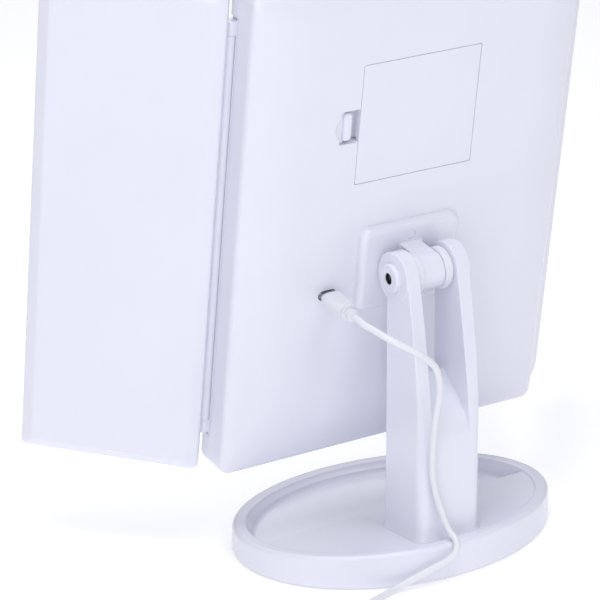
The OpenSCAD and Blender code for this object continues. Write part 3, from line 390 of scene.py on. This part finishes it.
foot = [(1.3, 12.4), (1.3, 12.9), (1.2, 13.15), (0.9, 13.6), (0.6, 14.2), (0.35, 15), (0.15, 16), (0.04, 17),
        (0, 18)]
column_rings = [column_ring(flare, col_back, col_foot_r, level, rim_lean) for flare, level in foot]
curve_z, top_r, top_in = 62.5, 0.6, 12.05
for u in (k / 28 for k in range(29)):
    rear = col_back - 0.6 - top_in * u ** 1.35
    corner_r = top_r + (col_foot_r - top_r) * (1 - u) ** 3
    column_rings.append(column_ring(0, rear, corner_r, curve_z + (pivot_z - curve_z) * u))
disc_r, disc_x, boss_r, boss_x = 12, 17.7, 7, 20.1
column = carve(lofted(column_rings), drum(disc_r, -disc_x, disc_x, 0.5), "UNION")
gap_half, shoulder_r, shoulder_end = 10.3, 20.5, (47.05, 62.3)
web = [(-60, 91), (24.6, 91), (25.3, 90.85), (25.9, 90.4)]
web += [(shoulder_end[0] - shoulder_r * (1 - math.cos(t)), shoulder_end[1] + shoulder_r * math.sin(t))
        for t in (math.radians(48 - 6 * k) for k in range(9))]
web += [(88, shoulder_end[1]), (88, 181), (-60, 181)]
column = carve(column, lofted([[(x, y, z) for y, z in web] for x in (-gap_half, gap_half)]))
in_gap = [edge for edge in column.edges if edge.is_manifold
          and all(abs(abs(vert.co.x) - gap_half) < 0.01 and vert.co.z > 69 for vert in edge.verts)]
rims = [edge for edge in in_gap if edge.calc_face_angle_signed() > 0.6]
bmesh.ops.bevel(column, geom=rims, offset=0.45, segments=3, profile=0.5, affect="EDGES", material=-1)
for side in (-1, 1):
    column = carve(column, drum(boss_r, *sorted((side * 15, side * boss_x)), 0.9, 90, 0.3), "UNION")
bolt_r, bolt_seat, head_hole_r, nut_hole_r, bolt_hole_r = 2, 13.9, 2.8, 4.05, 2.05
column = carve(column, drum(head_hole_r, bolt_seat, 24, 0.05, 50, 0.2))
column = carve(column, drum(nut_hole_r, -24, -bolt_seat, 0.05, 6))
column = carve(column, drum(bolt_hole_r, -16, 16, 0.05, 46, 0.7))
piece("column", column, stand_frame, white_plastic, "stand", ["stand_column"])

steel = moulded("zinc-plated steel", (0.56, 0.57, 0.60), 0.3, grain=0.15)
steel.node_tree.nodes["Principled BSDF"].inputs["Metallic"].default_value = 1
for name in ("column_screws", "pivot_nut"):
    dress(name, steel, 0.15)
# Near-black metal as painted shade: the cup it colours lines the bolt's hole and stands in for the shadow
# there.
bore_shade_steel = moulded("steel darkened as painted bore shade", (0.04, 0.04, 0.045), 0.35, grain=0.1)
bore_shade_steel.node_tree.nodes["Principled BSDF"].inputs["Metallic"].default_value = 1
cup_r, cup_end, cup_floor = 2.76, 19.6, 18
# The cup's walls carry the painted shade of the hole; only its floor is given plain steel.
bolt = carve(drum(bolt_r, -15.8, 14.5, 0.2, 40), drum(cup_r, bolt_seat, cup_end, 0.15, 50, 0.2), "UNION")
bolt = carve(bolt, drum(cup_r - 0.41, cup_floor, 21, 0.05, 44, 0.4))
bolt = piece("bolt", bolt, stand_frame, bore_shade_steel, "stand", ["pivot_bolt"])
bolt.data.materials.append(steel)
for face in bolt.data.polygons:
    if abs(face.center.x - cup_floor * mm) < 0.02 * mm:
        face.material_index = 1

knuckle_half, washer_r, washer_x = 5.7, 10, 9.6
for side in (-1, 1):
    washer = drum(washer_r, *sorted((side * (knuckle_half + 0.15), side * washer_x)), 0.7)
    washer = carve(washer, drum(washer_r - 1, *sorted((side * 9, side * (gap_half - 0.02))), 0.2), "UNION")
    washers = washer if side < 0 else carve(washers, washer, "UNION")
washers = carve(washers, drum(bolt_hole_r, -12, 12, 0.05, 46, 0.7))
nylon = moulded("white nylon", (0.79, 0.80, 0.88), 0.4)
piece("washers", washers, stand_frame, nylon, "stand", ["friction_washers"])


# ---- Rear shell ----
# The back of the housing is one pillowed moulding in white plastic: flat in the middle and falling away
# to straight side walls. The battery bay, the pit of the door's latch and the power socket's opening
# are let into it, and posts inside take the screws of the bezel and the bracket.

leaning = Matrix(((1, 0, 0), (0, math.sin(tilt), -math.cos(tilt)), (0, math.cos(tilt), math.sin(tilt))))
head_frame = Matrix.Translation(pivot) @ leaning.to_4x4() @ stand_frame
head_half_w, head_mid, head_half_h = 89, 21.2, 121.3
head_low, head_high = head_mid - head_half_h, head_mid + head_half_h
back_f, seam_f, front_f = 16.5, 34.7, 41.5
door_up, lid_half_w, lid_half_h, lid_t = 72.5, 31.85, 29.45, 1.7


def housing(inset, f, r):
    """Ring of the housing's outline, drawn in by an inset, at a depth forward of the tilt axis."""
    return oblong(inset - head_half_w, head_half_w - inset, head_low + inset, head_high - inset,
                  (r,) * 4, f, steps=10)


def box(x0, x1, y0, y1, z0, z1, r=0.0):
    """Block with upright edges of radius r."""
    return lofted([oblong(x0, x1, y0, y1, (r,) * 4, z, steps=6 if r else 1) for z in (z0, z1)])


def round_form(x, y, profile, steps):
    """Round form from front to back through radii at given depths."""
    turns = [2 * math.pi * k / steps for k in range(steps)]
    return lofted([[(x + r * math.cos(t), y + r * math.sin(t), z) for t in turns] for r, z in profile])


def post(x, y, z0, z1, r):
    """Round post or hole."""
    return round_form(x, y, [(r, z0), (r, z1)], 40)


def mouth(half_w, half_h, x, y, depth, r, flare):
    """Cutter for an opening in the back whose lip is softened."""
    levels = [(back_f - 1, flare + 1), (back_f, flare), (back_f + 0.1, flare * 0.45), (back_f + 0.35, 0),
              (depth, 0)]
    return lofted([oblong(x - half_w - g, x + half_w + g, y - half_h - g, y + half_h + g, (r + g,) * 4, f)
                   for f, g in levels])


pillow = [(26, 16.5, 18), (24, 16.5, 16), (19.2, 16.75, 14), (13.7, 17.6, 12), (7.9, 19.03, 9.5),
          (3.4, 20.57, 7), (1.3, 22, 5.6), (0.35, 23.1, 5), (0, 24.8, 5)]
skin = [housing(inset, f, r) for inset, f, r in smooth_route([Vector(knot) for knot in pillow], 5)]
skin += [housing(0, seam_f - 0.35, 5), housing(0.3, seam_f, 5)]
inner = [(24, 18.5, 14), (13.7, 19.6, 11), (7.9, 21, 8), (3.3, 24, 4), (2, 25.5, 4), (2, 36, 4)]
shell = carve(lofted(skin), lofted([housing(*level) for level in inner]))
inside_f, lid_gap, ledge_w = 18.3, 0.23, 1.3
pit_x, pit_half_h, hooks_up, hook_half = 44.75, 8.1, (-18, 18), 4


def bay(grow, f0, f1):
    """Block over the battery bay, as large as the lid and a little more or less."""
    half_w, half_h = lid_half_w + grow, lid_half_h + grow
    return box(-half_w, half_w, door_up - half_h, door_up + half_h, f0, f1)


shell = carve(shell, bay(lid_gap - 0.03, inside_f, seam_f - 0.05), "UNION")
pit = box(32, pit_x + 1.5, door_up - pit_half_h - 1.6, door_up + pit_half_h + 1.6, inside_f, 24.3)
shell = carve(shell, pit, "UNION")
case_screws_y = (head_low + 14.5, head_mid - 12, head_high - 14.5)
case_screws_at = [(side * 58, y) for side in (-1, 1) for y in case_screws_y]
for x, y in case_screws_at:
    shell = carve(shell, post(x, y, inside_f, 35.8, 3.5), "UNION")
plate_screws_y = (12.8, -16.3)
for y in plate_screws_y:
    shell = carve(shell, post(0, y, inside_f, 26.3, 3.2), "UNION")
shell = carve(shell, mouth(lid_half_w + lid_gap, lid_half_h + lid_gap, 0, door_up, 18.5, 0.9, 0.06))
shell = carve(shell, bay(-ledge_w, 18.4, 33.6))
shell = carve(shell, mouth(5.05, 8.2, 37.1, door_up, 19, 0.8, 0.35))
shell = carve(shell, box(30, pit_x, door_up - pit_half_h, door_up + pit_half_h, 18.52, 23.1))
scoop = [(8.4, 15.5), (7, 16.5), (6.7, 16.75), (6.1, 17.2), (4.6, 17.65), (2, 17.7)]
shell = carve(shell, round_form(37.9, door_up, scoop, 64))
for up in hooks_up:
    low, high = door_up + up - hook_half - 0.4, door_up + up + hook_half + 0.4
    shell = carve(shell, box(-35.5, -31, low, high, 18.5, 21.4))
shell = carve(shell, mouth(4.7, 2.35, socket_x, socket_v, 20, 2.3, 0.15))
piece("rear_shell_moulding", shell, head_frame, white_plastic, "head", ["rear_shell"], 30)


# ---- Front bezel ----
# A flat white plastic frame closes the housing: it holds the glass on tape in a shallow pocket, has a
# slot for each light strip and its frosted diffuser, and carries the fixed knuckles of the side
# mirrors' hinges in notches along its edges. Six screws under the glass hold it to the shell.

bezel = [housing(0.3, seam_f, 5), housing(0, seam_f + 0.35, 5)]
bezel += [housing(inset, front_f - drop, 5) for inset, drop in quarter(1.2)] + [housing(2.4, front_f, 5)]
bezel = lofted(bezel)
hinge_x, hinge_f, barrel_r, pin_hole_r, notch_half = 90.3, 38.4, 2.6, 1.05, 105.5


def rod(x, f, profile):
    """Round form along the mirror's height through radii at given heights."""
    turns = [2 * math.pi * k / 48 for k in range(48)]
    return lofted([[(x + r * math.cos(t), y, f + r * math.sin(t)) for t in turns] for r, y in profile])


def barrel(x, f, low, high):
    """Hinge barrel with softened ends."""
    end_r = barrel_r - 0.1
    return rod(x, f, [(end_r, low), (barrel_r, low + 0.1), (barrel_r, high - 0.1), (end_r, high)])


for side in (-1, 1):
    low, high = head_mid - notch_half, head_mid + notch_half
    notch = sorted((side * 87.4, side * 100))
    bezel = carve(bezel, box(*notch, low - 0.3, high + 0.3, seam_f - 1, front_f + 2))
    cradle = box(*sorted((side * 87, side * 88.95)), low, high, seam_f, 37.2)
    round_barrel = [(barrel_r + 0.18, head_mid + end) for end in (-110, 110)]
    bezel = carve(bezel, carve(cradle, rod(side * hinge_x, hinge_f, round_barrel)), "UNION")
    arm = sorted((side * 85.8, side * hinge_x))
    for end, way in ((low, 1), (high, -1)):
        knuckle, hole = sorted((end + 1.3 * way, end + 8 * way)), sorted((end + way, end + 9 * way))
        bezel = carve(bezel, box(*arm, *knuckle, 35.8, 41), "UNION")
        bezel = carve(bezel, barrel(side * hinge_x, hinge_f, *knuckle), "UNION")
        bezel = carve(bezel, rod(side * hinge_x, hinge_f, [(pin_hole_r, y) for y in hole]))
glass_half_w, glass_half_h, light_x, light_half_h = 67.1, 113.4, 75.5, 100
glass_low, glass_high = head_mid - glass_half_h, head_mid + glass_half_h
bezel = carve(bezel, box(-glass_half_w, glass_half_w, glass_low, glass_high, 37.8, 43))
bezel = carve(bezel, box(-85, 85, head_low + 4, head_high - 4, 33, 35.8))
for x in (-light_x, light_x):
    bezel = carve(bezel, box(x - 5, x + 5, head_mid - light_half_h, head_mid + light_half_h, 35, 43))
bezel = carve(bezel, post(0, head_low + 16, 35, 39, 7.3))
for x, y in case_screws_at:
    bezel = carve(bezel, post(x, y, 34, 39, 2.7))
piece("front_bezel_moulding", bezel, head_frame, white_plastic, "head", ["front_bezel"], 30)

silvered = moulded("silvered glass", (0.90, 0.92, 0.93), 0.05, coat=1.0, grain=0.0)
silvered.node_tree.nodes["Principled BSDF"].inputs["Metallic"].default_value = 1
dress("centre_mirror", silvered, 0.5, 3)
dress("mirror_tape", moulded("tape", (0.70, 0.68, 0.60), 0.8, grain=0.4))
frosted = moulded("frosted acrylic", (0.90, 0.89, 0.85), 0.5)
frosted.node_tree.nodes["Principled BSDF"].inputs["Subsurface Weight"].default_value = 0.4
frosted.node_tree.nodes["Principled BSDF"].inputs["Subsurface Scale"].default_value = 2 * mm
for side in ("right", "left"):
    dress(side + "_diffuser", frosted, 0.4, 3)
    dress(side + "_led_strip", moulded("white board", (0.80, 0.80, 0.79), 0.4))
    dress(side + "_hinge_pins", steel, 0.15)
dress("case_screws", steel, 0.15)


# ---- Electronics ----
# Behind the glass lie a copper touch pad, a green control board held by screws and the power socket,
# a folded steel can whose mouth shows in the shell's opening. The cells lie head to tail in the bay.

copper = moulded("copper foil", (0.72, 0.40, 0.22), 0.3, grain=0.2)
copper.node_tree.nodes["Principled BSDF"].inputs["Metallic"].default_value = 1
dress("touch_sensor", copper, 0.1)
dress("control_board", moulded("solder mask", (0.03, 0.16, 0.07), 0.35), 0.1)
dress("board_screws", steel, 0.12)
dress("usb_socket", steel, 0.1)
dress("battery_springs", steel)
dress("battery_contacts", steel, 0.05)
for k in range(4):
    colour = (0.05, 0.065, 0.09) if k % 2 else (0.035, 0.045, 0.07)
    dress("battery_%d" % (k + 1), moulded("cell wrap %d" % (k + 1), colour, 0.25, coat=0.5), 0.4, 3)


# ---- Bracket ----
# A cushioned plate in white plastic is held to the back by two white screws, whose heads lie in shallow
# round recesses. Its thick knuckle turns on the bolt between the fork's washers.

plate = [(4.5, 12.4, 2.4), (3, 12.4, 3), (1.9, 12.65, 3.6), (0.9, 13.3, 4.2), (0.25, 14.4, 4.6), (0, 16.5, 4.8)]
plate_half_w, plate_low, plate_high = 27, -23, 19.5
plate = [oblong(i - plate_half_w, plate_half_w - i, plate_low + i, plate_high - i, (r,) * 4, f)
         for i, f, r in smooth_route([Vector(knot) for knot in plate], 4)]
plate = lofted(plate)
neck_half_w, neck_half_h, neck_end, fillet_r = knuckle_half - 0.1, 8.75, 10.6, 2
neck = [(0, 1), (0, neck_end)]
neck += [(fillet_r * (1 - math.cos(t)), neck_end + fillet_r * math.sin(t))
         for t in (math.pi / 12 * k for k in range(1, 7))]
neck = lofted([oblong(-neck_half_w - g, neck_half_w + g, -neck_half_h - g, neck_half_h + g, (0.3 + g,) * 4, f)
               for g, f in neck])
plate = carve(plate, neck, "UNION")


def cross_rod(profile):
    """Round form across the head on the tilt axis, through radii at given places."""
    turns = [2 * math.pi * k / 96 for k in range(96)]
    return lofted([[(x, r * math.cos(t), r * math.sin(t)) for t in turns] for r, x in profile])


knuckle_r = 8.8
far_end = [(knuckle_r - inset, knuckle_half - drop) for inset, drop in quarter(0.3)]
plate = carve(plate, cross_rod([(r, -x) for r, x in reversed(far_end)] + far_end), "UNION")
plate = carve(plate, cross_rod([(bolt_hole_r, -9), (bolt_hole_r, 9)]))
for y in plate_screws_y:
    plate = carve(plate, post(0, y, 11, 13.6, 2.3))
    plate = carve(plate, post(0, y, 12.75, 13.8, 2.2), "UNION")
piece("bracket", plate, head_frame, white_plastic, "head", ["mount_plate"], 30)
dress("plate_screws", moulded("white enamel", (0.80, 0.81, 0.90), 0.3, coat=0.4, grain=0.008), 0.15)


# ---- Battery door ----
# A thin flush lid in white plastic with a hairline gap round it. Two hooks hold its far edge, and a
# sprung latch with an upright finger bar in the notch holds the near one.

lid = [(1.2, 0), (0.12, 0), (0.03, 0.05), (0, 0.15), (0, lid_t)]
lid_low, lid_high = door_up - lid_half_h, door_up + lid_half_h
lid = lofted([oblong(i - lid_half_w, lid_half_w - i, lid_low + i, lid_high - i, (0.9,) * 4, back_f + depth)
              for i, depth in lid])
for up in hooks_up:
    low, high = door_up + up - hook_half, door_up + up + hook_half
    lid = carve(lid, box(-lid_half_w, -28.35, low, high, 18, 20), "UNION")
    lid = carve(lid, box(-34.25, -31.35, low, high, 18.8, 20), "UNION")
lid = carve(lid, box(28.25, 31.45, door_up - 7.1, door_up + 7.1, 18.1, 21.3), "UNION")
arms_up, arm_half = (-4.6, 4.6), 0.75
for up in arms_up:
    lid = carve(lid, box(24, 36, door_up + up - arm_half - 0.1, door_up + up + arm_half + 0.1, 19, 22))
piece("lid", lid, head_frame, white_plastic, "battery_door", ["battery_door"], 30)

bar_x0, bar_x1, bar_low, bar_high = 35.4, 39.9, door_up - 6.9, door_up + 6.9
slide_x0, slide_x1, slide_low, slide_high = 30.3, 43.6, door_up - 7.95, door_up + 7.95
latch = [(1.4, 17.05, 0.5), (0.8, 17.1, 0.9), (0.35, 17.35, 1.3), (0.08, 17.75, 1.5), (0, 18.2, 1.6),
         (0, 21.6, 1.6)]
latch = lofted([oblong(bar_x0 + i, bar_x1 - i, bar_low + i, bar_high - i, (r,) * 4, f) for i, f, r in latch])
latch = carve(latch, box(slide_x0, slide_x1, slide_low, slide_high, 21.5, 22.6), "UNION")
latch = carve(latch, box(39.2, slide_x1, slide_low, slide_high, 18.6, 22.6), "UNION")
for up in arms_up:
    arm = box(slide_x0, 31.4, door_up + up - arm_half, door_up + up + arm_half, 19.1, 21.6)
    latch = carve(latch, arm, "UNION")
piece("latch", latch, head_frame, white_plastic, "door_latch", ["door_latch"], 30)


# ---- Side mirrors ----
# Each side mirror is a thin white frame and a rear cover with a bevelled border, clipped together, with
# a long barrel along its inner edge that turns on steel pins in the bezel's knuckles. The right one
# holds one pane of silvered glass and the left one two magnifying panes.

wing_angles = {"right": 42, "left": 55}
wing_x0, wing_x1, wing_back, wing_front, barrel_half = 0.5, 84.7, -7.4, -3.4, 97.4


def wing_ring(inset, z, r):
    """Ring of a side mirror's outline, drawn in by an inset, at a height over its hinge axis."""
    return oblong(wing_x0 + inset, wing_x1 - inset, head_low + inset, head_high - inset, (r,) * 4, z)


pane_in, pane_gap = 4, 1.5
panes = {"right": {"right_wing_mirror": (head_low + pane_in, head_high - pane_in)},
         "left": {"left_wing_mirror_lower": (head_low + pane_in, head_mid - pane_gap),
                  "left_wing_mirror_upper": (head_mid + pane_gap, head_high - pane_in)}}
for side, way in (("right", 1), ("left", -1)):
    swing = Matrix.Rotation(math.radians(-wing_angles[side]), 4, "Y")
    wing_frame = head_frame @ Matrix.Diagonal((way, 1, 1, 1))
    wing_frame = wing_frame @ Matrix.Translation((hinge_x, 0, hinge_f)) @ swing
    rim = [wing_ring(2, wing_back, 3), wing_ring(0.2, wing_back, 3), wing_ring(0, wing_back + 0.25, 3)]
    rim += [wing_ring(inset, wing_front - drop, 3) for inset, drop in quarter(0.8)]
    rim = lofted(rim + [wing_ring(1.6, wing_front, 3)])
    rim = carve(rim, box(0.8, barrel_r, head_mid - 97.2, head_mid + 97.2, -4.4, 0), "UNION")
    rim = carve(rim, barrel(0, 0, head_mid - barrel_half, head_mid + barrel_half), "UNION")
    for low, high in panes[side].values():
        rim = carve(rim, box(4.5, 80.8, low - 0.1, high + 0.1, -5.6, 3))
    for low in (-98, 89):
        rim = carve(rim, rod(0, 0, [(pin_hole_r, head_mid + low), (pin_hole_r, head_mid + low + 9)]))
    body = side + "_wing"
    piece(body + "_rim", rim, wing_frame, white_plastic, body, [body + "_frame"], 30)
    cover = [(8, -10.8, 3), (6.3, -10.8, 3.4), (5.5, -10.72, 3.2), (4.7, -10.5, 3), (1.1, -8.5, 2.7),
             (0.6, -8.2, 2.6), (0.2, -7.8, 2.8), (0.1, -7.6, 3), (0.3, -7.42, 3)]
    cover = lofted([wing_ring(*level) for level in cover])
    piece(body + "_back", cover, wing_frame, white_plastic, body, [body + "_cover"], 30)
    for name in panes[side]:
        dress(name, silvered, 0.4, 3)


# ---- Plugs and tie ----
# The power plug has a soft grip, moulded over a nickel-plated tip, that narrows to a ribbed strain
# relief. The lead's far end has a charger plug, and a soft band holds the coil.

plug_f = 15.3
plug_frame = head_frame @ Matrix.Translation((socket_x, socket_v, plug_f)) @ Matrix.Rotation(math.pi, 4, "X")
grip = [(4.2, 2.4, 1.9, 2.2), (4.9, 3.1, 2.0, 2.8), (5.3, 3.5, 2.5, 3.2), (5.5, 3.7, 3.6, 3.4),
        (5.5, 3.7, 8, 3.4), (5.2, 3.6, 12.4, 3.4), (4.7, 3.5, 15, 3.3), (4.3, 3.3, 16, 3.1),
        (3.4, 2.7, 16.3, 2.5)]
grip = smooth_route([Vector(knot) for knot in grip], 4)
grip = lofted([oblong(-w, w, -h, h, (min(r, h - 0.02),) * 4, z) for w, h, z, r in grip])
relief = [(2.7, 15), (2.6, 16.3), (3.9, 16.5), (4.15, 16.7), (4.2, 17.3), (4.05, 17.7), (3.6, 17.95),
          (2.55, 18), (2.4, 18.4), (2.3, 20.1), (2.9, 20.25), (3.2, 20.5), (3.25, 21.1), (3.1, 21.45),
          (2.3, 21.6), (1.85, 21.8), (1.8, 22.4)]
soft_plastic = moulded("soft plug plastic", (0.76, 0.77, 0.82), 0.42)
grip = carve(grip, round_form(0, 0, relief, 48), "UNION")
piece("plug_grip", grip, plug_frame, soft_plastic, "head", ["plug_overmould"], 40)
tip_half_w, tip_half_h, tip_r = 3.7, 1.25, 1.2
tip = lofted([oblong(i - tip_half_w, tip_half_w - i, i - tip_half_h, tip_half_h - i, (tip_r - i,) * 4, z)
              for i, z in ((0.3, -5.2), (0.05, -5), (0, -4.6), (0, -0.6), (-0.3, -0.4), (-0.4, 0),
                           (-0.4, 2.2))])
nickel = moulded("nickel-plated steel", (0.82, 0.81, 0.80), 0.3)
nickel.node_tree.nodes["Principled BSDF"].inputs["Metallic"].default_value = 1
piece("plug_tip_can", tip, plug_frame, nickel, "head", ["plug_tip"], 40)
dress("charger_plug_grip", soft_plastic, 0.3)
dress("charger_plug_shell", steel, 0.2)
dress("cord_tie", moulded("tie band", (0.80, 0.80, 0.81), 0.5), 0.15)
